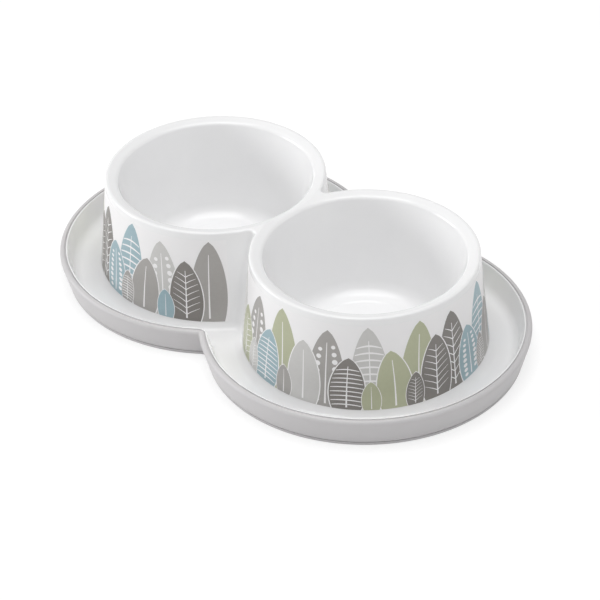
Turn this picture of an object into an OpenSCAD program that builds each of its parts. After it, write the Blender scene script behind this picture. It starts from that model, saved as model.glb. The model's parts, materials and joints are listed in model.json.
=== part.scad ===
// Double pet bowl: two round cups with flared skirts on one figure-eight spill tray,
// a soft non-slip band round the tray edge and a printed film label on each skirt.
// Frame: +Z up from the table, +X along the row of cups, origin midway between them.

/* [Overall] */
// Height of the cup rims above the table
height = 69; // [60:1:80]

/* [Cups] */
// Outer radius of a cup rim, at the top corner
rim_radius = 68; // [55:1:90]
// How far the two rims run into each other, along the row of cups
rim_overlap = 9; // [7:0.5:11]
// Width of a rim, from its outer corner to the line of the cup wall, both at the top
rim_width = 7.1; // [6.4:0.1:9]
// How much smaller a cup's radius is at its floor than at its opening
cup_taper = 14.9; // [8:0.1:20]
// Height of a cup's floor above the table
cup_floor_height = 8; // [6:0.5:14]
// Rounding between a cup's floor and its wall
cup_corner_round = 8; // [4:0.5:12]
// Thickness of a cup's wall
cup_wall = 2.2; // [1.6:0.1:2.5]
// Thickness of a cup's floor
cup_floor_thickness = 2.2; // [1.6:0.1:3]
// Rounding of the rim towards the opening
mouth_round = 3; // [2:0.5:5.5]
// Rounding of the rim's outer edge
rim_edge_round = 1.2; // [0.8:0.1:2]
// Width of the rim's level crown, from its outer corner inwards
rim_crown_width = 2; // [1.9:0.1:2.6]
// How far the rim falls from its crown to the corner of the opening
rim_fall = 1.5; // [0.4:0.1:2]
// Thickness of the rim and of the web between the cups
rim_thickness = 3; // [2.5:0.1:5]

/* [Skirts] */
// How far a skirt flares out from the rim to the tray floor
skirt_spread = 6.4; // [3:0.2:10]
// Thickness of a skirt
skirt_wall = 2.2; // [1.6:0.1:2.4]
// Rounding between a skirt and the tray floor
skirt_base_round = 5; // [2:0.5:5]
// Rounding in the corner where the two skirts meet
skirt_corner_round = 4.5; // [3:0.5:5]

/* [Tray] */
// Height of the tray's edge above the table
tray_height = 19.4; // [16:0.2:24]
// Width of the spill channel, from the skirt's foot to the seam between the tray and the band
channel_width = 21.6; // [18:0.2:30]
// Height of the tray floor above the table
tray_floor_height = 4; // [3:0.5:5]
// Thickness of the tray floor
tray_floor_thickness = 2; // [1.5:0.1:2.5]
// Depth to which the band's lip is let into the tray's wall
lip_rebate = 1.1; // [0.6:0.1:1.6]
// Rounding between the tray floor and its wall
tray_corner_round = 6; // [3:0.5:7]
// Width of the tray's edge inside the seam
crest_width = 1.5; // [1.2:0.1:2]
// Rounding of the tray's edge
crest_round = 1; // [0.4:0.1:1.1]

/* [Non-slip band] */
// Width of the lip, from the seam to the band's top corner
lip_width = 4.3; // [3.4:0.1:6]
// How far the lip overhangs the foot
lip_overhang = 5.1; // [2:0.1:7]
// Rounding of the band's upper edge
lip_round = 2.2; // [1:0.1:2.4]
// Rounding in the corner of the waist, at the widest part of the lip
waist_round = 1; // [0.5:0.1:4]
// Depth to which the lip laps the tray's edge
lip_lap = 4; // [3:0.2:6]
// Width of the groove beside the seam
seam_groove_width = 0.7; // [0.3:0.1:1]
// Depth of the groove beside the seam
seam_groove_depth = 0.9; // [0.3:0.1:1.5]
// Height of the foot below its groove
foot_height = 2.2; // [1.5:0.1:3]
// Height of the groove above the foot
foot_groove_height = 0.6; // [0.3:0.1:1]
// Depth of the groove above the foot
foot_groove_depth = 0.6; // [0.3:0.1:1]
// Rounding of the foot's outer edge
foot_round = 0.6; // [0.3:0.1:1]
// Width of the non-slip flange under the tray floor, inwards from the foot's edge
flange_width = 9; // [8:0.5:14]

/* [Labels] */
// Distance from a label's upper edge to the top of the rim
label_rim_margin = 4.8; // [3:0.2:20]
// Distance from a label's lower edge to the rounding at the skirt's base
label_base_margin = 0.3; // [0.2:0.1:6]
// Angle between a label's end and the rounding in the skirt corner
label_corner_margin = 2.5; // [1:0.5:20]
// Depth of the recess that holds a label
label_recess = 0.35; // [0.2:0.05:0.5]

/* [Hidden] */
// Gap on the curved faces between two pieces, so that their surfaces stay apart
fit_gap = 0.05;
// How far a cutting shape runs past what it cuts
overrun = 10;
// What a rounding's arc is enlarged by, and how far its segment runs on and in, as a share of its radius
arc_excess = 0.001;
segment_share = 0.15;
// The most of the lip's top, or of the rim's slope, that a rounding may take
edge_round_share = 0.9;
// A step too small to see, and the angle over which two sweeps share their ends
hair = 0.02;
join_lap = 1;
// How far the tray's floor ring and its wall ring share the flat floor
floor_lap = 2;
// How far the rounding in the skirt corner bites into both skirts
corner_bite = 0.35;
$fn = 128;

// Half the distance between the cups' centres, and the radii in order from a cup's centre outwards
half_spacing = rim_radius - rim_overlap / 2;
opening_radius = rim_radius - rim_width;
cup_base_radius = opening_radius - cup_taper;
skirt_base_radius = rim_radius + skirt_spread;
seam_radius = skirt_base_radius + channel_width;
lip_radius = seam_radius + lip_width;
foot_radius = lip_radius - lip_overhang;
// Level of the tray floor's underside, where the band's flange carries it
underside = tray_floor_height - tray_floor_thickness;

// Radius of the skirt, the cup wall, the band and the tray wall at a height
skirt_flare = skirt_spread / (height - tray_floor_height);
function skirt_at(z) = rim_radius + skirt_flare * (height - z);
cup_draft = cup_taper / (height - cup_floor_height);
function cup_wall_at(z) = cup_base_radius + cup_draft * (z - cup_floor_height);
tray_lean = lip_overhang / tray_height;
function band_at(z) = foot_radius + tray_lean * z;
function tray_wall_at(z) = seam_radius - crest_width - tray_lean * (tray_height - z);
function seam_at(z) = seam_radius - tray_lean * (tray_height - z);

// Level of the corner of the opening, and its rounding, which keeps within the rim's slope
mouth_level = height - rim_fall;
slope_width = rim_radius - rim_crown_width - cup_wall_at(mouth_level);
slope_angle = atan(rim_fall / slope_width);
mouth_corner = tan(45 + (atan(cup_draft) + slope_angle) / 2);
mouth_edge_round = min(mouth_round, edge_round_share * slope_width / cos(slope_angle) * mouth_corner);

// Thickness of the tray's wall, the level to which the lip laps down, and the middle of the tray floor
tray_wall = crest_width + lip_rebate;
lap_level = tray_height - lip_lap;
floor_middle = (skirt_base_radius + tray_wall_at(tray_floor_height)) / 2;
flange_radius = foot_radius - flange_width;

// Where the skirt runs into the rounding at its base, and the heights and angle that labels keep
skirt_lean = atan(skirt_flare);
skirt_round_top = tray_floor_height + skirt_base_round / tan(45 + skirt_lean / 2) * cos(skirt_lean);
label_bottom = skirt_round_top + label_base_margin;
label_top = height - label_rim_margin;
label_gap_angle = acos(half_spacing / (skirt_at(label_bottom) + skirt_corner_round)) + label_corner_margin;

// The waist: the rounding between the two lips is centred on (0, waist_centre),
// and the tray's section is turned about that centre, seen from the other side
lip_corner = tan(45 - atan(tray_lean) / 2);
lip_edge_round = min(lip_round, edge_round_share * (lip_width - seam_groove_width) * lip_corner);
lip_widest = lip_radius - lip_edge_round / lip_corner + lip_edge_round;
waist_reach = lip_widest + waist_round;
waist_centre = sqrt(pow(waist_reach, 2) - pow(half_spacing, 2));
waist_angle = atan2(waist_centre, half_spacing);

// A polygon with each corner rounded by its own radius. The points run counter-clockwise. A corner is
// cut off by a chord, and the arc's segment round the chord is added, or taken from a hollow corner.
// The arc is a touch larger than the rounding, so that it crosses the sides instead of just meeting them.
function unit(v) = v / norm(v);
function to_last(p, i) = unit(p[(i + len(p) - 1) % len(p)] - p[i]);
function to_next(p, i) = unit(p[(i + 1) % len(p)] - p[i]);
function is_hollow(p, i) = cross(to_next(p, i), to_last(p, i)) < 0;
function half_angle(p, i) = acos(to_last(p, i) * to_next(p, i)) / 2;
function round_start(p, r, i) = p[i] + r[i] / tan(half_angle(p, i)) * to_last(p, i);
function round_end(p, r, i) = p[i] + r[i] / tan(half_angle(p, i)) * to_next(p, i);
function round_centre(p, r, i) = p[i] + r[i] / sin(half_angle(p, i)) * unit(to_last(p, i) + to_next(p, i));

module round_segment(p, r, i) {
    start = round_start(p, r, i);
    end = round_end(p, r, i);
    past = segment_share * r[i] * unit(end - start);
    outwards = r[i] * unit(p[i] - (start + end) / 2);
    inwards = -segment_share * outwards;
    intersection() {
        translate(round_centre(p, r, i)) circle(r = r[i] + arc_excess);
        polygon([start - past + inwards, start - past + outwards, end + past + outwards, end + past + inwards]);
    }
}

// An inset draws every side in by the same amount
module rounded_polygon(points, rounds, inset = 0) {
    all = [0 : len(points) - 1];
    p = [for (i = all) points[i] + inset * (to_last(points, i) + to_next(points, i))
        / cross(to_next(points, i), to_last(points, i))];
    r = [for (i = all) rounds[i] == 0 ? 0 : rounds[i] + (is_hollow(points, i) ? inset : -inset)];
    corners = [for (i = all) if (r[i] > 0) i];
    difference() {
        union() {
            polygon([for (i = all)
                each r[i] > 0 ? [round_start(p, r, i), round_end(p, r, i)] : [p[i]]]);
            for (i = corners)
                if (!is_hollow(p, i)) round_segment(p, r, i);
        }
        for (i = corners)
            if (is_hollow(p, i)) round_segment(p, r, i);
    }
}

// Section of a cup with its skirt, from the cup's axis to the flat of the tray floor
module cup_section() {
    cup_underside = cup_floor_height - cup_floor_thickness;
    rim_underside = height - rim_thickness;
    outer_round = cup_corner_round + cup_wall;
    rounded_polygon(
        [[0, cup_underside],
         [cup_wall_at(cup_underside) + cup_wall, cup_underside],
         [cup_wall_at(rim_underside) + cup_wall, rim_underside],
         [skirt_at(rim_underside) - skirt_wall, rim_underside],
         [skirt_at(underside) - skirt_wall, underside],
         [floor_middle, underside],
         [floor_middle, tray_floor_height],
         [skirt_base_radius, tray_floor_height],
         [rim_radius, height],
         [rim_radius - rim_crown_width, height],
         [cup_wall_at(mouth_level), mouth_level],
         [cup_base_radius, cup_floor_height],
         [0, cup_floor_height]],
        [0, outer_round, 0, 0, 0, 0, 0, skirt_base_round, rim_edge_round, 0, mouth_edge_round,
         cup_corner_round, 0]);
}

// Section of the tray's edge: part of the flat floor, the wall, and the rebate that the lip laps
module tray_edge_section(inset) {
    rounded_polygon(
        [[floor_middle - floor_lap, underside],
         [tray_wall_at(underside) + tray_wall, underside],
         [tray_wall_at(lap_level) + tray_wall, lap_level],
         [seam_at(lap_level), lap_level],
         [seam_radius, tray_height],
         [seam_radius - crest_width, tray_height],
         [tray_wall_at(tray_floor_height), tray_floor_height],
         [floor_middle - floor_lap, tray_floor_height]],
        [0, 0, 0, 0, 0, crest_round, tray_corner_round, 0], inset);
}

// Section of the non-slip band: the flange, the foot, the outer face and the lip over the tray's wall
module band_section(inset) {
    groove_top = foot_height + foot_groove_height;
    groove_level = tray_height - seam_groove_depth;
    rounded_polygon(
        [[flange_radius, 0],
         [foot_radius, 0],
         [band_at(foot_height), foot_height],
         [band_at(foot_height) - foot_groove_depth, foot_height],
         [band_at(groove_top) - foot_groove_depth, groove_top],
         [band_at(groove_top), groove_top],
         [lip_radius, tray_height],
         [seam_radius + seam_groove_width, tray_height],
         [seam_radius + seam_groove_width, groove_level],
         [seam_at(groove_level) + fit_gap, groove_level],
         [seam_at(lap_level) + fit_gap, lap_level],
         [tray_wall_at(lap_level) + tray_wall + fit_gap, lap_level],
         [tray_wall_at(underside) + tray_wall + fit_gap, underside],
         [flange_radius, underside]],
        [0, foot_round, 0, 0, 0, 0, lip_edge_round, 0, 0, 0, 0, 0, 0, 0], inset);
}

// Turns the first section about both cups, and the second, facing the other way, round both corners
// of the waist. The second is drawn in by a hair and runs on a little way inside the first.
module figure_eight() {
    for (side = [0, 1]) {
        mirror([side, 0, 0])
            translate([-half_spacing, 0, 0])
                rotate([0, 0, waist_angle])
                    rotate_extrude(angle = 360 - 2 * waist_angle) children(0);
        mirror([0, side, 0])
            translate([0, -waist_centre, 0])
                rotate([0, 0, waist_angle - join_lap])
                    rotate_extrude(angle = 180 - 2 * waist_angle + 2 * join_lap)
                        translate([waist_reach, 0])
                            mirror([1, 0]) children(1);
    }
}

// The flat floor between the skirts and the waist. Its corners lie where other floors cover them:
// just inside the waist's two ends, and over the foot of the skirts' corner.
module floor_web() {
    shared_radius = floor_middle - floor_lap / 2;
    side_angle = waist_angle - 2 * join_lap;
    side_corner = [half_spacing - shared_radius * cos(side_angle), shared_radius * sin(side_angle)];
    skirt_foot = sqrt(pow(skirt_base_radius + skirt_base_round, 2) - pow(half_spacing, 2));
    translate([0, 0, underside + hair])
        linear_extrude(tray_floor_thickness - 2 * hair)
            polygon([[0, skirt_foot], side_corner, [-side_corner.x, side_corner.y]]);
}

// Film section: its outer face is flush with the skirt, and depth is measured inwards from there
module film_section(depth, proud) {
    polygon([[skirt_at(label_bottom) - depth, label_bottom],
             [skirt_at(label_bottom) + proud, label_bottom],
             [skirt_at(label_top) + proud, label_top],
             [skirt_at(label_top) - depth, label_top]]);
}

module film_ring(depth, proud) {
    translate([-half_spacing, 0, 0])
        rotate([0, 0, label_gap_angle])
            rotate_extrude(angle = 360 - 2 * label_gap_angle) film_section(depth, proud);
}

// One cup on the left of the middle plane, with the recess for its label
module left_cup() {
    difference() {
        intersection() {
            translate([-half_spacing, 0, 0]) rotate_extrude() cup_section();
            translate([-half_spacing - floor_middle - overrun, -floor_middle - overrun, -overrun])
                cube([half_spacing + floor_middle + overrun, 2 * (floor_middle + overrun), height + 2 * overrun]);
        }
        film_ring(label_recess, overrun / 2);
    }
}

// Fills the corner between the skirts, up to the rim's rounded edge: a wedge along the corner, less a
// round bar whose axis runs from the rounding's centre at the rim to its centre at the tray floor
function corner_axis(z) = sqrt(pow(skirt_at(z) + skirt_corner_round, 2) - pow(half_spacing, 2));
module skirt_corner() {
    rise = height - tray_floor_height;
    rim_edge_margin = 1.5 * rim_edge_round;
    run = corner_axis(tray_floor_height) - corner_axis(height);
    length = norm([rise, run]);
    tangent_x = half_spacing * skirt_corner_round / (rim_radius + skirt_corner_round);
    wedge_depth = corner_axis(height) - sqrt(pow(rim_radius, 2) - pow(half_spacing, 2)) + skirt_wall / 2;
    intersection() {
        translate([0, -corner_axis(height), height])
            rotate([180 - atan2(run, rise), 0, 0])
                translate([0, 0, -overrun])
                    linear_extrude(length + 2 * overrun)
                        difference() {
                            polygon([[-tangent_x - skirt_wall / 2, -skirt_corner_round / 2],
                                     [0, -wedge_depth],
                                     [tangent_x + skirt_wall / 2, -skirt_corner_round / 2]]);
                            translate([0, -corner_bite]) circle(r = skirt_corner_round);
                        }
        translate([-rim_radius, -skirt_base_radius, tray_floor_height - tray_floor_thickness / 2])
            cube([2 * rim_radius, 2 * skirt_base_radius, rise + tray_floor_thickness / 2 - rim_edge_margin]);
    }
}

// Cups, rims, skirts and tray in one moulding, hollow below and open underneath. The floors of the
// cups' rings, the web, the tray's edge and its waist step down by a hair each, so none share a plane.
module bowl_body() {
    color([0.97, 0.97, 0.96])
        union() {
            for (side = [0, 1]) {
                mirror([side, 0, 0]) left_cup();
                mirror([0, side, 0]) skirt_corner();
                mirror([0, side, 0]) floor_web();
            }
            figure_eight() {
                tray_edge_section(2 * hair);
                tray_edge_section(3 * hair);
            }
        }
}

// Soft band moulded round the tray's edge, down to the table and under the edge of its floor
module non_slip_band() {
    color([0.72, 0.71, 0.71])
        figure_eight() {
            band_section(0);
            band_section(hair);
        }
}

module label() {
    film_ring(label_recess - fit_gap, 0);
}

module label_left() {
    color([0.93, 0.94, 0.93]) label();
}

module label_right() {
    color([0.93, 0.94, 0.93]) mirror([1, 0, 0]) label();
}

bowl_body();
non_slip_band();
label_left();
label_right();
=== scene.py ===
import json
import math

import bmesh
import bpy
import numpy as np
from mathutils import Matrix, Vector

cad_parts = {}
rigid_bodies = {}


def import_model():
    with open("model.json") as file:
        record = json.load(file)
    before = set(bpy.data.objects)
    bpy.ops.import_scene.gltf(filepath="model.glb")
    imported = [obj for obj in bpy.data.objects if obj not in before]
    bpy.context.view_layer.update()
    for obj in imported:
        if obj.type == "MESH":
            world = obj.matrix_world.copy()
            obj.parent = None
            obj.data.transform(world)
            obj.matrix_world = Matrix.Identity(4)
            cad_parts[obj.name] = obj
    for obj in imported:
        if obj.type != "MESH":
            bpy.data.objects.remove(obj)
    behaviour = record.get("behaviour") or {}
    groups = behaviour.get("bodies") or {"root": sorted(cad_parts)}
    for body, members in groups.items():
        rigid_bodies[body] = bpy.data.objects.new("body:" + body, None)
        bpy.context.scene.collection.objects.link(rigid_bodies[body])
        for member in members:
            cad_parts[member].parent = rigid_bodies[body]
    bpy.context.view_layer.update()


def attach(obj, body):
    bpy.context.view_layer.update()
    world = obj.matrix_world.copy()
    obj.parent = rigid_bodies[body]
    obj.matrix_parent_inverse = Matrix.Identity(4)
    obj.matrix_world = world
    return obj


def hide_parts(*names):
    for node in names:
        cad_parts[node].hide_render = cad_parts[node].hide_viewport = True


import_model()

# Sizes are in millimetres, as in the part; meshes, the camera and the lamps are placed in metres.
MM = 0.001

# ---- Sizes of the bowl, as the part has them ----
HEIGHT, HALF_SPACING = 69.0, 63.5
RIM_RADIUS, OPENING_RADIUS, CUP_BASE_RADIUS, SKIRT_BASE_RADIUS = 68.0, 60.9, 46.0, 74.4
RIM_CROWN_WIDTH, RIM_FALL, RIM_THICKNESS, RIM_EDGE_ROUND, MOUTH_ROUND = 2.0, 1.5, 3.0, 1.2, 3.0
CUP_FLOOR, CUP_FLOOR_THICKNESS, CUP_CORNER_ROUND, CUP_WALL = 8.0, 2.2, 8.0, 2.2
SKIRT_WALL, SKIRT_BASE_ROUND = 2.2, 5.0
TRAY_HEIGHT, TRAY_FLOOR, TRAY_UNDERSIDE, TRAY_CORNER_ROUND = 19.4, 4.0, 2.0, 6.0
SEAM_RADIUS, LIP_REBATE, LAP_LEVEL = 96.0, 1.1, 15.4
LIP_RADIUS, LIP_ROUND, FOOT_RADIUS, FOOT_ROUND, FLANGE_RADIUS = 100.3, 2.2, 95.2, 0.6, 86.2
FOOT_HEIGHT, FOOT_GROOVE_HEIGHT, FOOT_GROOVE_DEPTH = 2.2, 0.6, 0.6
SEAM_GROOVE_WIDTH, SEAM_GROOVE_DEPTH = 0.7, 0.9
# Radius of the tray's outline and that of its rounding at the waist, added up
WAIST_REACH = 100.65
LABEL_BOTTOM, LABEL_TOP, LABEL_GAP_ANGLE = 8.8, 64.2, math.radians(38.4)

# ---- Details as the scene draws them, some finer than in the part because the light shows them ----
# The tray's crest inside its seam, and the rounding of its inner edge
CREST_WIDTH, CREST_ROUND = 0.9, 0.45
# The rounding where a rim's slope meets its crown, half the width of the ridge between the two rims' slopes,
# and the width over which that ridge fades towards the crown
CROWN_ROUND, RIDGE_HALF_WIDTH, RIDGE_FADE = 1.5, 1.6, 2.0
# The shallow step that rings the middle of a cup's floor, and the rounding from floor to wall
STEP_INNER, STEP_OUTER, STEP_RISE, INSIDE_CORNER_ROUND = 34.6, 36.8, 0.55, 10.0
# The softened edges of the tray and the band at the seam, and of the band's flange and foot
SEAM_EDGE_ROUND, GROOVE_EDGE_ROUND, BAND_EDGE_ROUND = 0.3, 0.25, 0.2
# The rounding between the two skirts, at levels from the tray's floor up to the rim
SKIRT_CORNER_LEVELS, SKIRT_CORNER_ROUNDS, LEAST_CORNER_ROUND = (4, 9, 40, 69), (5.6, 5.4, 5.0, 3.5), 0.4
# Where the web between the cups ends, above and below, as an angle seen from a cup's axis
WEB_ANGLE, UNDER_WEB_ANGLE = math.radians(13), math.radians(15)
# The gap left between the band and the tray's edge
BAND_CLEARANCE = 0.05

# ---- How finely the meshes are drawn ----
# Points along a quarter of an outline: at the waist, round a cup, and across the web
CORNER_STEPS, CIRCLE_STEPS, WEB_STEPS = 12, 100, 10
# Rows along a section, from a cup's axis outwards
FLOOR_RADII, STEP_ROWS, FLOOR_CORNER_ROWS, CUP_WALL_ROWS, MOUTH_ROWS = (8, 16, 24, 31), 15, 18, 8, 12
SLOPE_ROWS, LAND_ROWS, CROWN_ROWS, RIM_EDGE_ROWS, SKIRT_ROWS, SKIRT_BASE_ROWS = 3, 7, 4, 8, 14, 10
TRAY_FLOOR_ROWS, TRAY_CORNER_ROWS, TRAY_WALL_ROWS, CREST_ROWS, SEAM_EDGE_ROWS = 4, 12, 3, 6, 3
UNDERSIDE_ROWS, HOLLOW_ROWS, UNDER_WALL_ROWS, UNDER_CORNER_ROWS, UNDER_RADII = 4, 10, 6, 12, (30, 20, 10)
LARGE_ROUND, LARGE_ROUND_ROWS, SMALL_ROUND_ROWS = 1, 10, 4
# In metres: points this close are one, and shorter edges are dropped
MERGE_DISTANCE, LEAST_EDGE = 2e-6, 1e-6
# Steeper bends than these stay crisp
MOULDED_CREASE, PRINTED_CREASE = math.radians(28), math.radians(40)

SKIRT_FLARE = (SKIRT_BASE_RADIUS - RIM_RADIUS) / (HEIGHT - TRAY_FLOOR)
TRAY_LEAN = (LIP_RADIUS - FOOT_RADIUS) / TRAY_HEIGHT
CUP_DRAFT = (OPENING_RADIUS - CUP_BASE_RADIUS) / (HEIGHT - CUP_FLOOR)


# ---- Radii of the sloping faces at a height ----
def skirt_at(z):
    return RIM_RADIUS + SKIRT_FLARE * (HEIGHT - z)


def cup_wall_at(z):
    return CUP_BASE_RADIUS + CUP_DRAFT * (z - CUP_FLOOR)


def tray_wall_at(z):
    return SEAM_RADIUS - CREST_WIDTH - TRAY_LEAN * (TRAY_HEIGHT - z)


def rebate_at(z):
    return tray_wall_at(z) + CREST_WIDTH + LIP_REBATE


def seam_at(z):
    return SEAM_RADIUS - TRAY_LEAN * (TRAY_HEIGHT - z)


def band_at(z):
    return FOOT_RADIUS + TRAY_LEAN * z


def skirt_corner_at(z):
    """Rounding of the corner between the two skirts: wider towards the tray's floor."""
    return float(np.interp(z, SKIRT_CORNER_LEVELS, SKIRT_CORNER_ROUNDS))


# ---- Small helpers for objects and nodes ----
def placed_object(name, data):
    made = bpy.data.objects.new(name, data)
    bpy.context.scene.collection.objects.link(made)
    return made


def emptied_tree(owner):
    """The node tree of a material or the world, with nothing in it."""
    owner.use_nodes = True
    owner.node_tree.nodes.clear()
    return owner.node_tree


def add(tree, kind, inputs=None, **settings):
    """Adds a node. inputs maps a socket's name or number to a value, or to the output that feeds it."""
    node = tree.nodes.new(kind)
    for name, value in settings.items():
        setattr(node, name, value)
    for name, value in (inputs or {}).items():
        if isinstance(value, bpy.types.NodeSocket):
            tree.links.new(value, node.inputs[name])
        else:
            node.inputs[name].default_value = value
    return node


def srgb(code):
    """A hex colour as the linear colour that a socket takes."""
    parts = [int(code[i:i + 2], 16) / 255 for i in (0, 2, 4)]
    return [p / 12.92 if p <= 0.04045 else ((p + 0.055) / 1.055) ** 2.4 for p in parts] + [1.0]


# ---- Camera: the photograph's own angle and distance ----
AZIMUTH, ELEVATION, ROLL = math.radians(45.72), math.radians(35.29), math.radians(-1.50)
CAMERA_DISTANCE, CAMERA_TARGET = 1474.0, (26.09, -17.51, 25.0)
CAMERA_LENS, SENSOR_WIDTH, FARTHEST_SEEN = 147.07, 36, 100


def make_camera():
    back = Vector((
        math.sin(AZIMUTH) * math.cos(ELEVATION),
        -math.cos(AZIMUTH) * math.cos(ELEVATION),
        math.sin(ELEVATION)))
    right = (-back).cross(Vector((0, 0, 1))).normalized()
    up = right.cross(-back)
    turned_right = right * math.cos(ROLL) + up * math.sin(ROLL)
    turned_up = up * math.cos(ROLL) - right * math.sin(ROLL)
    data = bpy.data.cameras.new("camera")
    data.lens, data.sensor_width, data.sensor_fit = CAMERA_LENS, SENSOR_WIDTH, "HORIZONTAL"
    data.clip_end = FARTHEST_SEEN
    camera = placed_object("camera", data)
    place = Matrix((turned_right, turned_up, back)).transposed().to_4x4()
    place.translation = (Vector(CAMERA_TARGET) + back * CAMERA_DISTANCE) * MM
    camera.matrix_world = place
    bpy.context.scene.camera = camera


# ---- Plastics and inks ----
# Polypropylene, elastomer and lacquer all refract light about alike
PLASTIC_IOR = 1.5
# Values of the clouds' noise between which the gloss goes from its least to its most
CLOUD_LOW, CLOUD_HIGH = 0.3, 0.7


def mottled(name, light, dark, patch, roughness, roughness_range, grain, grain_depth):
    """A material whose colour drifts between two near tones in patches, over a fine surface grain.
    patch and grain are the sizes of both patterns, and grain_depth the grain's, in millimetres."""
    material = bpy.data.materials.new(name)
    tree = emptied_tree(material)
    place = add(tree, "ShaderNodeTexCoord").outputs["Object"]
    patches = add(tree, "ShaderNodeTexNoise", {
        "Vector": place, "Scale": 1 / (patch * MM), "Detail": 3.0, "Roughness": 0.55}).outputs["Fac"]
    tone = add(tree, "ShaderNodeMix", {0: patches, 6: srgb(dark), 7: srgb(light)}, data_type="RGBA").outputs[2]
    gloss = add(tree, "ShaderNodeMapRange", {
        "Value": patches, "From Min": CLOUD_LOW, "From Max": CLOUD_HIGH,
        "To Min": roughness - roughness_range, "To Max": roughness + roughness_range}).outputs["Result"]
    fine = add(tree, "ShaderNodeTexNoise", {
        "Vector": place, "Scale": 1 / (grain * MM), "Detail": 2.0}).outputs["Fac"]
    bump = add(tree, "ShaderNodeBump", {
        "Height": fine, "Strength": 1.0, "Distance": grain_depth * MM}).outputs["Normal"]
    shader = add(tree, "ShaderNodeBsdfPrincipled", {
        "Base Color": tone, "Roughness": gloss, "Normal": bump, "IOR": PLASTIC_IOR})
    add(tree, "ShaderNodeOutputMaterial", {"Surface": shader.outputs[0]})
    return material


# Injection-moulded polypropylene, white, from a polished tool: a cool near-white with a satin gloss,
# faint flow clouds some 15 mm wide, and the slight waviness of a thick moulding as it shrinks.
POLYPROPYLENE = mottled(
    "white_polypropylene_moulded", "f4f4f4", "f1f1f2",
    patch=15, roughness=0.14, roughness_range=0.01, grain=4.0, grain_depth=0.002)

# Thermoplastic elastomer moulded over the edge, mid grey: matt and slightly dusty, with a fine spark
# texture. The real grain is near 0.1 mm; it is drawn at 0.5 mm so that it shows at all.
ELASTOMER = mottled(
    "grey_elastomer_overmoulded", "cbc9ca", "c6c4c5",
    patch=6, roughness=0.48, roughness_range=0.04, grain=0.5, grain_depth=0.010)

# Label film, cast white polypropylene moulded in with the skirt: a little flatter than the skirt's own
# gloss, and with ripples 2.5 mm wide where the melt pressed it against the tool.
FILM = mottled(
    "label_film_white", "f3f2f2", "efeeef",
    patch=10, roughness=0.32, roughness_range=0.02, grain=2.5, grain_depth=0.003)

# Offset inks under a clear lacquer: each prints a little unevenly, in clouds 2 mm wide. The lacquer's
# tooth is finer than 0.1 mm, and is drawn at 0.4 mm so that it shows.
INKS = [
    mottled(f"ink_{name}", light, dark, patch=2.0, roughness=0.36, roughness_range=0.03, grain=0.4, grain_depth=0.002)
    for name, light, dark in (
        ("dark_taupe", "87837f", "7d7975"), ("sage", "b9bca0", "b1b497"), ("dusty_blue", "a2bac1", "95afb9"),
        ("light_grey", "cecdcb", "c6c5c3"), ("mid_grey", "aba8a5", "a3a09d"), ("white", "f3f2f2", "efeeef"))]
TAUPE, SAGE, BLUE, LIGHT, GREY, WHITE = range(len(INKS))


# ---- Sections: points of radius and height ----
def unit(v):
    return v / np.linalg.norm(v)


def corner(before, at, after, radius, steps):
    """Points of the arc that rounds a section's corner, from its first side to its second."""
    before, at, after = (np.array(p, float) for p in (before, at, after))
    one, two = unit(before - at), unit(after - at)
    half = math.acos(np.clip(one @ two, -1, 1)) / 2
    centre = at + unit(one + two) * radius / math.sin(half)
    start, end = at + one * radius / math.tan(half), at + two * radius / math.tan(half)
    first = math.atan2(*(start - centre)[::-1])
    turn = (math.atan2(*(end - centre)[::-1]) - first + math.pi) % (2 * math.pi) - math.pi
    return [tuple(centre + radius * np.array((math.cos(a), math.sin(a))))
            for a in first + turn * np.arange(steps + 1) / steps]


def between(a, b, count):
    """Points along a side of a section, without its ends."""
    return [tuple(np.array(a) + (np.array(b) - np.array(a)) * k / (count + 1)) for k in range(1, count + 1)]


# ---- Outlines and rows: points of a quarter of the bowl, behind the cups' line and left of the middle ----
def outline(radius, waist):
    """A quarter of the figure eight: the rounding of the waist, then the left cup's circle to its far end."""
    centre = math.sqrt((radius + waist) ** 2 - HALF_SPACING ** 2)
    meet = math.atan2(centre, HALF_SPACING)
    a = 1.5 * math.pi - (math.pi / 2 - meet) * np.arange(CORNER_STEPS) / CORNER_STEPS
    b = meet + (math.pi - meet) * np.arange(CIRCLE_STEPS + 1) / CIRCLE_STEPS
    return np.concatenate([
        np.stack([waist * np.cos(a), centre + waist * np.sin(a)], 1),
        np.stack([radius * np.cos(b) - HALF_SPACING, radius * np.sin(b)], 1)])


def ring(radius, angles):
    """Points round the left cup's axis."""
    return np.stack([radius * np.cos(angles) - HALF_SPACING, radius * np.sin(angles)], 1)


def middle_line(angles):
    """Points of the middle plane between the cups, at angles seen from the left cup's axis."""
    return np.stack([0 * angles, HALF_SPACING * np.tan(angles)], 1)


def fanned(seen, least):
    """Angles from least to half a turn, spread out as those seen are."""
    return least + (seen - seen[0]) * (math.pi - least) / (math.pi - seen[0])


def web_angles(most):
    return most * np.arange(WEB_STEPS + 1) / WEB_STEPS


def blended(one, two, count):
    """Outlines on the way from one to another, without both."""
    return [one + (two - one) * k / (count + 1) for k in range(1, count + 1)]


def at_height(points, z):
    """One row of a mesh: a flat outline at a height, or with a height for each point."""
    return np.column_stack([points, np.broadcast_to(z, len(points))])


def skirt_row(r, z):
    """A row with the skirt's outline: on the skirt, on the rim's edge above it or on its inner face."""
    return at_height(outline(r, max(LEAST_CORNER_ROUND, skirt_corner_at(z) + skirt_at(z) - r)), z)


def tray_row(r, z):
    return at_height(outline(r, WAIST_REACH - r), z)


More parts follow.
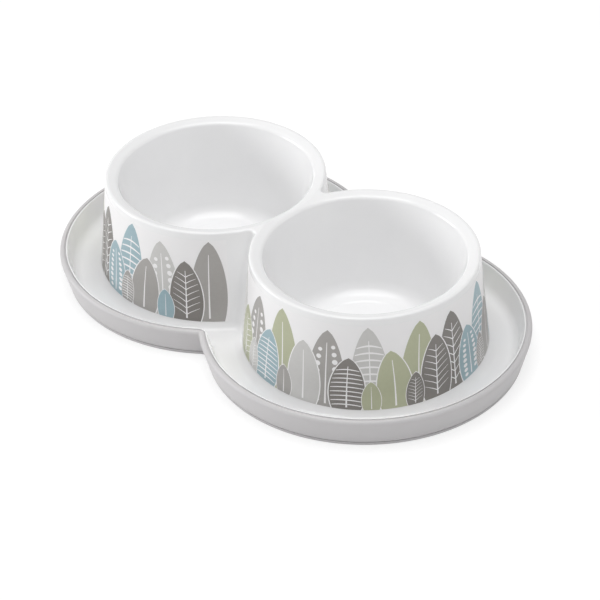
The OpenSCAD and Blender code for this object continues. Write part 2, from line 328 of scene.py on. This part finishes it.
# ---- Quarters and finished pieces ----
class Quarter:
    """Collects a quarter of a mesh."""

    def __init__(self):
        self.points, self.faces = [], []

    def sheet(self, rows, closed=False):
        """Faces from each row to the next, and from the last to the first if the sheet is closed."""
        first = len(self.points)
        count = len(rows[0])
        for row in rows:
            self.points.extend(map(tuple, row))
        last = len(rows) if closed else len(rows) - 1
        for i in range(last):
            low, high = first + i * count, first + (i + 1) % len(rows) * count
            self.faces.extend((low + j, low + j + 1, high + j + 1, high + j) for j in range(count - 1))

    def cap(self, pole, row):
        """Triangles from a row to one point."""
        first = len(self.points)
        self.points.append(pole)
        self.points.extend(map(tuple, row))
        self.faces.extend((first, first + 1 + j, first + 2 + j) for j in range(len(row) - 1))

    def whole(self, name, material):
        """The quarter and its three mirror images as one closed mesh."""
        bm = bmesh.new()
        for sx, sy in ((1, 1), (-1, 1), (-1, -1), (1, -1)):
            made = [bm.verts.new((x * sx * MM, y * sy * MM, z * MM)) for x, y, z in self.points]
            for face in self.faces:
                loop = [made[i] for i in face]
                bm.faces.new(loop if sx == sy else loop[::-1])
        bmesh.ops.remove_doubles(bm, verts=bm.verts, dist=MERGE_DISTANCE)
        bmesh.ops.dissolve_degenerate(bm, dist=LEAST_EDGE, edges=bm.edges)
        return finished(bm, name, [material], MOULDED_CREASE)


def finished(bm, name, materials, crease):
    """A smooth-shaded piece with crisp edges. An edge that doesn't join two faces is a fault, and is named."""
    bmesh.ops.recalc_face_normals(bm, faces=bm.faces)
    open_edges = sum(not e.is_manifold for e in bm.edges)
    if open_edges:
        print(f"{name}: {open_edges} open edges")
    for face in bm.faces:
        face.smooth = True
    for edge in bm.edges:
        edge.smooth = len(edge.link_faces) == 2 and edge.calc_face_angle() < crease
    mesh = bpy.data.meshes.new(name)
    bm.to_mesh(mesh)
    bm.free()
    for material in materials:
        mesh.materials.append(material)
    return placed_object(name, mesh)


# ---- Cups, rims, skirts and tray: one moulding ----
LAND_END, SKIRT_FOOT = (RIM_RADIUS, HEIGHT), (SKIRT_BASE_RADIUS, TRAY_FLOOR)
MOUTH_CORNER = (cup_wall_at(HEIGHT - RIM_FALL), HEIGHT - RIM_FALL)
CROWN_CORNER = (RIM_RADIUS - RIM_CROWN_WIDTH, HEIGHT)
SLOPE = RIM_FALL / (CROWN_CORNER[0] - MOUTH_CORNER[0])
MOUTH = corner((CUP_BASE_RADIUS, CUP_FLOOR), MOUTH_CORNER, CROWN_CORNER, MOUTH_ROUND, MOUTH_ROWS)
CROWN = corner(MOUTH_CORNER, CROWN_CORNER, LAND_END, CROWN_ROUND, CROWN_ROWS)


def rim_row(points):
    """A row over a rim: its slope from the mouth up to the crown, eased into the other rim's slope."""
    r = np.hypot(points[:, 0] + HALF_SPACING, points[:, 1])
    z = np.interp(r, *zip(MOUTH[-1], *CROWN))
    near_ridge = np.clip(1 + points[:, 0] / RIDGE_HALF_WIDTH, 0, 1)
    below_crown = np.clip((CROWN_CORNER[0] - r) / RIDGE_FADE, 0, 1)
    return at_height(points, z - SLOPE * RIDGE_HALF_WIDTH * near_ridge ** 2 / 2 * below_crown)


def cup_floor_section():
    """The inside of a cup from near its axis to the start of the straight wall."""
    low, across = CUP_FLOOR - STEP_RISE, STEP_OUTER - STEP_INNER
    flat = [(r, low) for r in FLOOR_RADII]
    step = [(STEP_INNER + across * t, low + STEP_RISE * (t - math.sin(2 * math.pi * t) / (4 * math.pi)))
            for t in np.linspace(0, 1, STEP_ROWS)]
    base = (CUP_BASE_RADIUS, CUP_FLOOR)
    return flat + step + corner(
        (0, CUP_FLOOR), base, (OPENING_RADIUS, HEIGHT), INSIDE_CORNER_ROUND, FLOOR_CORNER_ROWS)


def tray_section():
    """From the foot of the tray's wall over its crest, and down the rebate under the band's lip."""
    inner_edge, outer_edge = (SEAM_RADIUS - CREST_WIDTH, TRAY_HEIGHT), (SEAM_RADIUS, TRAY_HEIGHT)
    wall_foot = (tray_wall_at(TRAY_FLOOR), TRAY_FLOOR)
    lap = (seam_at(LAP_LEVEL), LAP_LEVEL)
    foot_arc = corner(SKIRT_FOOT, wall_foot, inner_edge, TRAY_CORNER_ROUND, TRAY_CORNER_ROWS)
    crest_arc = corner(wall_foot, inner_edge, outer_edge, CREST_ROUND, CREST_ROWS)
    seam_arc = corner(inner_edge, outer_edge, lap, SEAM_EDGE_ROUND, SEAM_EDGE_ROWS)
    rebate = [(rebate_at(z), z) for z in (LAP_LEVEL, TRAY_UNDERSIDE)]
    return foot_arc + between(foot_arc[-1], crest_arc[0], TRAY_WALL_ROWS) + crest_arc + seam_arc + [lap] + rebate


def cup_outside_section(under_edge, rim_under):
    """The outside of a cup, from the underside of its rim down and in to near its axis."""
    cup_under = CUP_FLOOR - CUP_FLOOR_THICKNESS
    foot = (cup_wall_at(cup_under) + CUP_WALL, cup_under)
    round_corner = corner(
        (under_edge, rim_under), foot, (0, cup_under), CUP_CORNER_ROUND + CUP_WALL, UNDER_CORNER_ROWS)
    wall = between((under_edge, rim_under), round_corner[0], UNDER_WALL_ROWS)
    return wall + round_corner + [(r, cup_under) for r in UNDER_RADII]


def make_body():
    q = Quarter()
    rim_edge = corner(CROWN_CORNER, LAND_END, SKIRT_FOOT, RIM_EDGE_ROUND, RIM_EDGE_ROWS)
    land = skirt_row(rim_edge[0][0], HEIGHT)

    # Inside the cup and up the rim's slope. The columns fan out to meet those of the land.
    seen = np.arctan2(land[:, 1], land[:, 0] + HALF_SPACING)
    floor = cup_floor_section()
    inside = floor + between(floor[-1], MOUTH[0], CUP_WALL_ROWS) + MOUTH
    main, web = fanned(seen, WEB_ANGLE), web_angles(WEB_ANGLE)
    slope_ends = []
    for angles, edge in ((main, ring(HALF_SPACING / math.cos(WEB_ANGLE), main)), (web, middle_line(web))):
        rows = [at_height(ring(r, angles), z) for r, z in inside]
        slope = [rim_row(p) for p in blended(ring(MOUTH[-1][0], angles), edge, SLOPE_ROWS) + [edge]]
        q.cap((-HALF_SPACING, 0, floor[0][1]), rows[0])
        q.sheet(rows + slope)
        slope_ends.append(slope[-1])

    # Land, rim's outer edge, skirt and the rounding at its base
    base = corner(LAND_END, SKIRT_FOOT, (SEAM_RADIUS, TRAY_FLOOR), SKIRT_BASE_ROUND, SKIRT_BASE_ROWS)
    skirt_rows = [skirt_row(r, z) for r, z in rim_edge + between(rim_edge[-1], base[0], SKIRT_ROWS) + base]
    land_rows = [rim_row(p) for p in blended(slope_ends[0][:, :2], land[:, :2], LAND_ROWS)]
    q.sheet([slope_ends[0]] + land_rows + skirt_rows)

    # Tray, then underneath it the inside of the skirt, the rim and the outside of the cup
    tray_rows = [tray_row(r, z) for r, z in tray_section()]
    rim_under = HEIGHT - RIM_THICKNESS
    levels = [z for _, z in between((0, TRAY_UNDERSIDE), (0, rim_under), HOLLOW_ROWS)]
    hollow = [skirt_row(skirt_at(z) - SKIRT_WALL, z) for z in [TRAY_UNDERSIDE] + levels + [rim_under]]
    under_edge = cup_wall_at(rim_under) + CUP_WALL
    main, web = fanned(seen, UNDER_WEB_ANGLE), web_angles(UNDER_WEB_ANGLE)
    outside = cup_outside_section(under_edge, rim_under)
    rim_ring = ring(HALF_SPACING / math.cos(UNDER_WEB_ANGLE), main)
    rim_rows = [at_height(points, rim_under) for points in (rim_ring, ring(under_edge, main))]
    cup_rows = [at_height(ring(r, main), z) for r, z in outside]
    q.sheet(
        [skirt_rows[-1]] + blended(skirt_rows[-1], tray_rows[0], TRAY_FLOOR_ROWS) + tray_rows
        + blended(tray_rows[-1], hollow[0], UNDERSIDE_ROWS) + hollow + rim_rows + cup_rows)
    web_rows = [at_height(points, rim_under) for points in (middle_line(web), ring(under_edge, web))]
    web_rows += [at_height(ring(r, web), z) for r, z in outside]
    q.sheet(web_rows)
    for rows in (cup_rows, web_rows):
        q.cap((-HALF_SPACING, 0, outside[-1][1]), rows[-1])
    return q.whole("bowl_moulding", POLYPROPYLENE)


# ---- Soft band round the tray's edge ----
def make_band():
    groove_top, groove_level = FOOT_HEIGHT + FOOT_GROOVE_HEIGHT, TRAY_HEIGHT - SEAM_GROOVE_DEPTH
    groove_radius = SEAM_RADIUS + SEAM_GROOVE_WIDTH
    # Corners of the section, from the flange along the foot, up the outside and down the seam: radius,
    # height and rounding
    corners = [
        (FLANGE_RADIUS, 0, BAND_EDGE_ROUND), (FOOT_RADIUS, 0, FOOT_ROUND),
        (band_at(FOOT_HEIGHT), FOOT_HEIGHT, BAND_EDGE_ROUND),
        (band_at(FOOT_HEIGHT) - FOOT_GROOVE_DEPTH, FOOT_HEIGHT, 0),
        (band_at(groove_top) - FOOT_GROOVE_DEPTH, groove_top, 0),
        (band_at(groove_top), groove_top, BAND_EDGE_ROUND),
        (LIP_RADIUS, TRAY_HEIGHT, LIP_ROUND),
        (groove_radius, TRAY_HEIGHT, GROOVE_EDGE_ROUND), (groove_radius, groove_level, 0),
        (seam_at(groove_level) + BAND_CLEARANCE, groove_level, 0),
        (seam_at(LAP_LEVEL) + BAND_CLEARANCE, LAP_LEVEL, 0),
        (rebate_at(LAP_LEVEL) + BAND_CLEARANCE, LAP_LEVEL, 0),
        (rebate_at(TRAY_UNDERSIDE) + BAND_CLEARANCE, TRAY_UNDERSIDE, 0),
        (FLANGE_RADIUS, TRAY_UNDERSIDE, 0)]
    section = []
    for i, (r, z, rounding) in enumerate(corners):
        before, after = corners[i - 1][:2], corners[(i + 1) % len(corners)][:2]
        rows = LARGE_ROUND_ROWS if rounding > LARGE_ROUND else SMALL_ROUND_ROWS
        section += corner(before, (r, z), after, rounding, rows) if rounding else [(r, z)]
    q = Quarter()
    q.sheet([tray_row(r, z) for r, z in section], closed=True)
    return q.whole("soft_edge_band", ELASTOMER)


# ---- Leaves of the printed labels ----
# Leaves are drawn flat, in millimetres along the label and up it, and bent round the skirt by nodes.
INK_THICKNESS, INK_STEP = 0.02, 0.022
LEAF_LENGTH, LEAF_WIDTH, LEAF_FOOT_POWER, LEAF_TIP_POWER = 52.0, 22.0, 0.6, 0.68
# The share of a whole leaf that is cut off at its foot
LEAF_CUT = 0.2
# The white outline: its width beside the leaf, and how far it stands past the tip
HALO, HALO_TIP = 0.75, 1.6
# The rib: half its width at the foot, how much of that it loses, where it starts and how far it runs
RIB_HALF_WIDTH, RIB_TAPER, RIB_FOOT, RIB_RUN = 0.55, 0.35, 0.04, 0.8
HALO_LAYER, LEAF_LAYER, DRAWING_LAYER = range(3)
# Veins, stripes and dots: how many, where the first is and how far apart, as shares of the leaf's length
VEINS, FIRST_VEIN, VEIN_PITCH = 7, 0.1, 0.105
STRIPES, FIRST_STRIPE, STRIPE_PITCH = 9, 0.1, 0.085
DOTS, FIRST_DOT, DOT_PITCH = 8, 0.1, 0.095
# Widths of a vein and a stripe, how far a stripe's ends sag, a dot's least radius, and how far the dots
# of a pair stand above and below its middle
VEIN_WIDTH, STRIPE_WIDTH, STRIPE_SAG, LEAST_DOT, DOT_STAGGER = 0.9, 1.1, 1.6, 0.55, 1.2


def leaf_half_width(t):
    """Half the width of a leaf from its cut foot, at 0, to its tip, at 1."""
    widest = LEAF_FOOT_POWER / (LEAF_FOOT_POWER + LEAF_TIP_POWER)
    most = widest ** LEAF_FOOT_POWER * (1 - widest) ** LEAF_TIP_POWER
    up = LEAF_CUT + (1 - LEAF_CUT) * np.clip(t, 0, 1)
    return LEAF_WIDTH / 2 * up ** LEAF_FOOT_POWER * (1 - up) ** LEAF_TIP_POWER / most


def flat_shape(bm, place, across, along, layer, white):
    """A thin closed shape: place maps two shares, across and along it, to a point on the flat label."""
    rise = bm.verts.layers.float["rise"]
    is_white = bm.faces.layers.bool["white"]
    top = layer * INK_STEP
    sides = []
    for h in (top, top - INK_THICKNESS):
        grid = []
        for j in range(along + 1):
            line = []
            for i in range(across + 1):
                x, y = place(i / across, j / along)
                v = bm.verts.new((x, y, h))
                v[rise] = y / LEAF_LENGTH
                line.append(v)
            grid.append(line)
        sides.append(grid)
    up, low = sides
    faces = []
    for j in range(along):
        for i in range(across):
            faces.append((up[j][i], up[j][i + 1], up[j + 1][i + 1], up[j + 1][i]))
            faces.append((low[j][i], low[j + 1][i], low[j + 1][i + 1], low[j][i + 1]))
        faces.append((up[j][0], up[j + 1][0], low[j + 1][0], low[j][0]))
        faces.append((up[j][-1], low[j][-1], low[j + 1][-1], up[j + 1][-1]))
    for i in range(across):
        faces.append((up[0][i], low[0][i], low[0][i + 1], up[0][i + 1]))
        faces.append((up[-1][i], up[-1][i + 1], low[-1][i + 1], low[-1][i]))
    for loop in faces:
        bm.faces.new(loop)[is_white] = white
    new = [v for grid in sides for line in grid for v in line]
    bmesh.ops.remove_doubles(bm, verts=new, dist=1e-4)


def veined(bm):
    for k in range(VEINS):
        foot = LEAF_LENGTH * (FIRST_VEIN + VEIN_PITCH * k)
        reach = 0.78 * float(leaf_half_width(foot / LEAF_LENGTH + 0.08))
        for side in (-1, 1):
            def place(s, t, side=side, foot=foot, reach=reach):
                width = VEIN_WIDTH * (1 - 0.7 * t)
                climb = foot + reach * 0.75 * t ** 0.85
                return side * (0.3 + reach * t), climb + width * (s if side < 0 else 1 - s)
            flat_shape(bm, place, 1, 3, DRAWING_LAYER, True)


def striped(bm):
    for k in range(STRIPES):
        y = LEAF_LENGTH * (FIRST_STRIPE + STRIPE_PITCH * k)

        def place(s, t, y=y):
            a = 2 * s - 1
            at = y + STRIPE_WIDTH * (t - 0.5) * (1 - 0.4 * a * a) - STRIPE_SAG * a * a
            return a * 0.93 * float(leaf_half_width(at / LEAF_LENGTH)), at
        flat_shape(bm, place, 8, 1, DRAWING_LAYER, True)


def spotted(bm):
    for k in range(DOTS):
        y = LEAF_LENGTH * (FIRST_DOT + DOT_PITCH * k)
        wide = float(leaf_half_width(y / LEAF_LENGTH))
        for side in (-1, 1):
            def place(s, t, x=side * wide * 0.52, at=y + side * DOT_STAGGER, radius=max(LEAST_DOT, 0.17 * wide)):
                a, b = 2 * s - 1, 2 * t - 1
                return x + radius * a * math.sqrt(1 - b * b / 2), at + radius * b * math.sqrt(1 - a * a / 2)
            flat_shape(bm, place, 4, 4, DRAWING_LAYER, True)


def leaf_shape(name, decorate):
    """A flat leaf with its white outline, its rib and what decorate draws on it."""
    bm = bmesh.new()
    bm.verts.layers.float.new("rise")
    bm.faces.layers.bool.new("white")

    def halo(s, t):
        y = t * (LEAF_LENGTH + HALO_TIP)
        past = y - LEAF_LENGTH
        wide = leaf_half_width(y / LEAF_LENGTH) + HALO if past < 0 else HALO * (1 - past / HALO_TIP)
        return (2 * s - 1) * wide, y

    def leaf(s, t):
        return (2 * s - 1) * leaf_half_width(t), t * LEAF_LENGTH

    def rib(s, t):
        return (2 * s - 1) * (RIB_HALF_WIDTH - RIB_TAPER * t), LEAF_LENGTH * (RIB_FOOT + RIB_RUN * t)

    flat_shape(bm, halo, 8, 16, HALO_LAYER, True)
    flat_shape(bm, leaf, 8, 20, LEAF_LAYER, False)
    flat_shape(bm, rib, 1, 8, DRAWING_LAYER, True)
    if decorate:
        decorate(bm)
    mesh = bpy.data.meshes.new(name)
    bm.to_mesh(mesh)
    bm.free()
    return bpy.data.objects.new(name, mesh)


LEAF_SHAPES = (
    ("leaf_0_plain", None), ("leaf_1_veined", veined), ("leaf_2_striped", striped), ("leaf_3_spotted", spotted))
PLAIN, VEINED, STRIPED, SPOTTED = range(len(LEAF_SHAPES))

# ---- Layout of the labels ----
LABEL_MID_RADIUS = skirt_at(36)
LABEL_SWEEP = 2 * math.pi - 2 * LABEL_GAP_ANGLE
LABEL_LENGTH = LABEL_SWEEP * LABEL_MID_RADIUS
LEAF_PITCH, LABEL_END_MARGIN = 27.2, 24
# Each list is gone through again and again along a label. Lengths are shares of LEAF_LENGTH, and leans
# are how far a leaf's tip stands off to one side.
LEANS = (1.8, -2.2, 0.8, -1.2, 2.4, -0.6)
TALL_INKS = (GREY, LIGHT, SAGE, TAUPE, BLUE, LIGHT, GREY, SAGE)
TALL_LENGTHS = (1.04, 1.0, 1.06, 0.98, 1.05)
TALL_SHAPES = (PLAIN, SPOTTED, STRIPED, PLAIN, VEINED, STRIPED, SPOTTED)
FRONT_INKS = (SAGE, TAUPE, BLUE, GREY, TAUPE, SAGE, BLUE, LIGHT, TAUPE)
FRONT_LENGTHS = (0.70, 0.78, 0.66, 0.74, 0.8, 0.68)
FRONT_SHAPES = (STRIPED, PLAIN, VEINED, SPOTTED, PLAIN, VEINED, STRIPED, PLAIN)
SMALL_INKS = (LIGHT, GREY, BLUE, SAGE, TAUPE)
SMALL_LENGTHS = (0.36, 0.41)
SMALL_SHAPES = (PLAIN, VEINED, PLAIN, STRIPED)
TALL_WIDTH, FRONT_WIDTH, SMALL_WIDTH = 1.0, 0.94, 0.5
TALL_LAYER, FRONT_LAYER, SMALL_LAYER = 1, 4, 7
# How much of a lean also moves a leaf's foot, and where the small leaves stand between the others
LEAN_SHIFT, SMALL_PLACE = 0.4, 0.98


def pick(choices, k):
    return choices[k % len(choices)]


def layout(name, first):
    """Points for two staggered rows of leaves and small ones between, with each leaf's size and ink.
    first is where this label starts in the lists."""
    count = int((LABEL_LENGTH - LABEL_END_MARGIN) // LEAF_PITCH) + 1
    start = (LABEL_LENGTH - (count - 1) * LEAF_PITCH) / 2
    leaves = []
    for i in range(count):
        n = i + first
        leaves.append((
            start + i * LEAF_PITCH + pick(LEANS, n + 2) * LEAN_SHIFT, pick(TALL_LENGTHS, n), TALL_WIDTH,
            pick(LEANS, n), TALL_LAYER, pick(TALL_INKS, n), pick(TALL_SHAPES, n)))
    for i in range(count - 1):
        n = i + first
        leaves.append((
            start + (i + 0.5) * LEAF_PITCH - pick(LEANS, n) * LEAN_SHIFT, pick(FRONT_LENGTHS, n), FRONT_WIDTH,
            -pick(LEANS, n + 1), FRONT_LAYER, pick(FRONT_INKS, n), pick(FRONT_SHAPES, n)))
    for i in range(count - 1):
        n = i + first
        if n % 3 != 1:
            leaves.append((
                start + (i + SMALL_PLACE) * LEAF_PITCH + pick(LEANS, n), pick(SMALL_LENGTHS, n), SMALL_WIDTH,
                pick(LEANS, n + 3) / 2, SMALL_LAYER, pick(SMALL_INKS, n), pick(SMALL_SHAPES, n)))
    places, lengths, widths, leans, layers, inks, shapes = zip(*leaves)
    mesh = bpy.data.meshes.new(name)
    mesh.from_pydata([(x, LABEL_BOTTOM, 0) for x in places], [], [])
    sizes = mesh.attributes.new("size", "FLOAT_VECTOR", "POINT")
    sizes.data.foreach_set("vector", np.array([(w, h, 1) for w, h in zip(widths, lengths)], float).ravel())
    for label, kind, values in (
            ("lean", "FLOAT", leans), ("layer", "FLOAT", layers), ("ink", "INT", inks), ("kind", "INT", shapes)):
        mesh.attributes.new(label, kind, "POINT").data.foreach_set("value", values)
    return mesh


def leaf_print_tree():
    """Puts a leaf at each point, bends the flat layout round the skirt and inks it."""
    tree = bpy.data.node_groups.new("leaf_print", "GeometryNodeTree")
    sizes = (
        "Skirt radius at the table", "Skirt flare", "Layout radius", "Ink step", "Film proud",
        "Cup centre", "Turn", "Scale")
    sockets = [("Layout", "NodeSocketGeometry"), ("Leaf shapes", "NodeSocketCollection")]
    sockets += [(name, "NodeSocketFloat") for name in sizes]
    sockets += [(f"Ink {k}", "NodeSocketMaterial") for k in range(len(INKS))]
    for name, kind in sockets:
        tree.interface.new_socket(name, in_out="INPUT", socket_type=kind)
    tree.interface.new_socket("Print", in_out="OUTPUT", socket_type="NodeSocketGeometry")
    given = add(tree, "NodeGroupInput").outputs

    # What the sums below start from: the sizes, each leaf's own values, and the place on the flat label
    known = {name: given[name] for name in sizes}
    for name, kind in (
            ("kind", "INT"), ("size", "FLOAT_VECTOR"), ("rise", "FLOAT"), ("lean", "FLOAT"),
            ("layer", "FLOAT"), ("ink", "INT"), ("white", "BOOLEAN")):
        known[name] = add(tree, "GeometryNodeInputNamedAttribute", {"Name": name}, data_type=kind).outputs[0]
    flat = add(tree, "ShaderNodeSeparateXYZ", {0: add(tree, "GeometryNodeInputPosition").outputs[0]}).outputs
    known.update(x=flat["X"], y=flat["Y"], z=flat["Z"])

    shapes = add(tree, "GeometryNodeCollectionInfo", {
        "Collection": given["Leaf shapes"], "Separate Children": True, "Reset Children": True})
    placed = add(tree, "GeometryNodeInstanceOnPoints", {
        "Points": given["Layout"], "Instance": shapes.outputs[0], "Pick Instance": True,
        "Instance Index": known["kind"], "Scale": known["size"]})
    made = add(tree, "GeometryNodeRealizeInstances", {0: placed.outputs[0]}).outputs[0]

    for name, operation, *terms in (
            ("rise squared", "MULTIPLY", "rise", "rise"), ("leaned", "MULTIPLY", "lean", "rise squared"),
            ("along", "ADD", "x", "leaned"), ("swept", "DIVIDE", "along", "Layout radius"),
            ("angle", "ADD", "swept", "Turn"), ("cosine", "COSINE", "angle"), ("sine", "SINE", "angle"),
            ("stacked", "MULTIPLY", "layer", "Ink step"), ("lifted", "ADD", "z", "stacked"),
            ("proud", "ADD", "lifted", "Film proud"), ("drawn in", "MULTIPLY", "y", "Skirt flare"),
            ("skirt", "SUBTRACT", "Skirt radius at the table", "drawn in"), ("radius", "ADD", "skirt", "proud"),
            ("forward", "MULTIPLY", "radius", "cosine"), ("X", "ADD", "forward", "Cup centre"),
            ("Y", "MULTIPLY", "radius", "sine")):
        inputs = {i: known[term] for i, term in enumerate(terms)}
        known[name] = add(tree, "ShaderNodeMath", inputs, operation=operation).outputs[0]
    bent = add(tree, "ShaderNodeCombineXYZ", {"X": known["X"], "Y": known["Y"], "Z": known["y"]}).outputs[0]
    metres = add(tree, "ShaderNodeVectorMath", {0: bent, "Scale": known["Scale"]}, operation="SCALE").outputs[0]
    made = add(tree, "GeometryNodeSetPosition", {"Geometry": made, "Position": metres}).outputs[0]

    # Each leaf takes its own ink, and then what is white in it the last one
    chosen = [
        add(tree, "FunctionNodeCompare", {2: known["ink"], 3: k}, data_type="INT", operation="EQUAL").outputs[0]
        for k in range(WHITE)] + [known["white"]]
    for k, faces in enumerate(chosen):
        made = add(tree, "GeometryNodeSetMaterial", {
            "Geometry": made, "Selection": faces, "Material": given[f"Ink {k}"]}).outputs[0]
    add(tree, "NodeGroupOutput", {0: made})
    return tree


# ---- Labels: the film in its recess, and the print on it ----
FILM_DEPTH, FILM_PROUD, FILM_STEPS = 0.3, 0.03, 200
# How far the film's outer edges are drawn in, and over what height
FILM_EDGE_DRAWN_IN, FILM_EDGE_HEIGHT = 0.02, 0.1


def make_film(bm, centre, turn):
    """The label's film, a thin closed strip with softened edges, flush in its recess."""
    edge = FILM_PROUD - FILM_EDGE_DRAWN_IN
    section = [
        (-FILM_DEPTH, LABEL_BOTTOM), (edge, LABEL_BOTTOM), (FILM_PROUD, LABEL_BOTTOM + FILM_EDGE_HEIGHT),
        (FILM_PROUD, LABEL_TOP - FILM_EDGE_HEIGHT), (edge, LABEL_TOP), (-FILM_DEPTH, LABEL_TOP)]
    loops = []
    for k in range(FILM_STEPS + 1):
        a = turn + LABEL_GAP_ANGLE + LABEL_SWEEP * k / FILM_STEPS
        loops.append([bm.verts.new((
            (centre + (skirt_at(z) + out) * math.cos(a)) * MM, (skirt_at(z) + out) * math.sin(a) * MM, z * MM))
            for out, z in section])
    for one, two in zip(loops, loops[1:]):
        for i in range(len(section)):
            j = (i + 1) % len(section)
            bm.faces.new((one[i], one[j], two[j], two[i]))
    bm.faces.new(loops[0][::-1])
    bm.faces.new(loops[-1])


def make_labels():
    shapes = bpy.data.collections.new("leaf_shapes")
    for name, decorate in LEAF_SHAPES:
        shapes.objects.link(leaf_shape(name, decorate))
    tree = leaf_print_tree()
    sockets = {item.name: item.identifier for item in tree.interface.items_tree if item.in_out == "INPUT"}
    labels = []
    for side, centre, turn, first in (("left", -HALF_SPACING, 0.0, 2), ("right", HALF_SPACING, math.pi, 5)):
        points = placed_object(f"leaf_layout_{side}", layout(f"leaf_layout_{side}", first))
        nodes = points.modifiers.new("leaf_print", "NODES")
        nodes.node_group = tree
        given = {
            "Leaf shapes": shapes, "Skirt radius at the table": skirt_at(0), "Skirt flare": SKIRT_FLARE,
            "Layout radius": LABEL_MID_RADIUS, "Ink step": INK_STEP, "Film proud": FILM_PROUD,
            "Cup centre": centre, "Turn": turn + LABEL_GAP_ANGLE, "Scale": MM}
        given.update({f"Ink {k}": ink for k, ink in enumerate(INKS)})
        for name, setting in given.items():
            nodes[sockets[name]] = setting
        graph = bpy.context.evaluated_depsgraph_get()
        inked = bpy.data.meshes.new_from_object(
            points.evaluated_get(graph), preserve_all_data_layers=True, depsgraph=graph)
        points.modifiers.remove(nodes)
        bpy.data.objects.remove(points)

        # The print leaves its first material slot empty, and the film takes it
        bm = bmesh.new()
        make_film(bm, centre, turn)
        bm.from_mesh(inked)
        labels.append(finished(bm, f"printed_label_{side}", [FILM] + list(inked.materials)[1:], PRINTED_CREASE))
    for shape in list(shapes.objects):
        bpy.data.objects.remove(shape)
    bpy.data.collections.remove(shapes)
    return labels


# ---- Floor, surroundings and lamps, in metres ----
# The floor lies a hair below the foot, so that the two don't share a plane.
FLOOR_REACH, FLOOR_LEVEL = 6.0, -0.0001
# The floor as it lights the bowl, and as it is seen: a darker grey that takes the bowl's shadow, with a glow
# that brings it to white
FLOOR_PAINT, FLOOR_SHADE, FLOOR_GLOW = "f2f2f2", "9c9c9c", 0.72
# The surroundings as they light the bowl and show in its gloss, and as the camera sees them
SKY_LIGHT, SKY_SEEN, PLAIN_WHITE = 0.355, 1.0, (1, 1, 1, 1)


def make_floor():
    a, z = FLOOR_REACH, FLOOR_LEVEL
    mesh = bpy.data.meshes.new("floor")
    mesh.from_pydata([(-a, -a, z), (a, -a, z), (a, a, z), (-a, a, z)], [], [(0, 1, 2, 3)])
    floor = placed_object("floor", mesh)
    material = bpy.data.materials.new("pale_floor")
    tree = emptied_tree(material)
    path = add(tree, "ShaderNodeLightPath").outputs
    mirrored = add(tree, "ShaderNodeMath", {
        0: path["Is Glossy Ray"], 1: path["Is Transmission Ray"]}, operation="MAXIMUM").outputs[0]
    seen = add(tree, "ShaderNodeMath", {0: path["Is Camera Ray"], 1: mirrored}, operation="MAXIMUM").outputs[0]
    paint = add(tree, "ShaderNodeBsdfDiffuse", {"Color": srgb(FLOOR_PAINT)})
    shade = add(tree, "ShaderNodeBsdfDiffuse", {"Color": srgb(FLOOR_SHADE)})
    glow = add(tree, "ShaderNodeEmission", {"Color": PLAIN_WHITE, "Strength": FLOOR_GLOW})
    shown = add(tree, "ShaderNodeAddShader", {0: shade.outputs[0], 1: glow.outputs[0]})
    surface = add(tree, "ShaderNodeMixShader", {0: seen, 1: paint.outputs[0], 2: shown.outputs[0]})
    add(tree, "ShaderNodeOutputMaterial", {"Surface": surface.outputs[0]})
    mesh.materials.append(material)


def make_surroundings():
    world = bpy.data.worlds.new("studio")
    bpy.context.scene.world = world
    tree = emptied_tree(world)
    seen = add(tree, "ShaderNodeLightPath").outputs["Is Camera Ray"]
    strength = add(tree, "ShaderNodeMapRange", {"Value": seen, "To Min": SKY_LIGHT, "To Max": SKY_SEEN})
    sky = add(tree, "ShaderNodeBackground", {"Color": PLAIN_WHITE, "Strength": strength.outputs[0]})
    add(tree, "ShaderNodeOutputWorld", {"Surface": sky.outputs[0]})


def softbox(name, place, target, size, power):
    """A lamp at a place, turned to a target, with its width and height, and its power in watts."""
    data = bpy.data.lights.new(name, "AREA")
    data.shape, data.size, data.size_y, data.energy = "RECTANGLE", size[0], size[1], power
    lamp = placed_object(name, data)
    lamp.location = place
    lamp.rotation_euler = (Vector(target) - Vector(place)).to_track_quat("-Z", "Y").to_euler()


make_camera()
make_floor()
make_surroundings()
# The main light from above, a strip that draws fine lines along the rims, a low one from the left that
# models the tray, and two weak ones that lift the shade
softbox("softbox_broad", (0.10, -0.10, 1.5), (0, 0, 0), (1.2, 1.2), 12.6)
softbox("softbox_strip", (-0.27, 0.26, 1.35), (0, 0, 0), (0.6, 0.08), 1.2)
softbox("softbox_left", (-1.40, -1.10, 0.45), (0, 0, 0.03), (0.9, 0.5), 13.4)
softbox("softbox_front", (0.95, -0.95, 0.35), (0, 0, 0.03), (1.0, 0.4), 1.3)
softbox("softbox_right", (1.1, 1.0, 0.6), (0, 0, 0.03), (0.8, 0.6), 1.6)

body = make_body()
band = make_band()
labels = make_labels()
for piece, node, finish in (
        (body, "bowl_body", "white_moulding"), (band, "non_slip_band", "soft_band"),
        (labels[0], "label_left", "printed_film"), (labels[1], "label_right", "printed_film")):
    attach(piece, "root")
    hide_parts(node)

bpy.context.scene.view_settings.view_transform = "Standard"
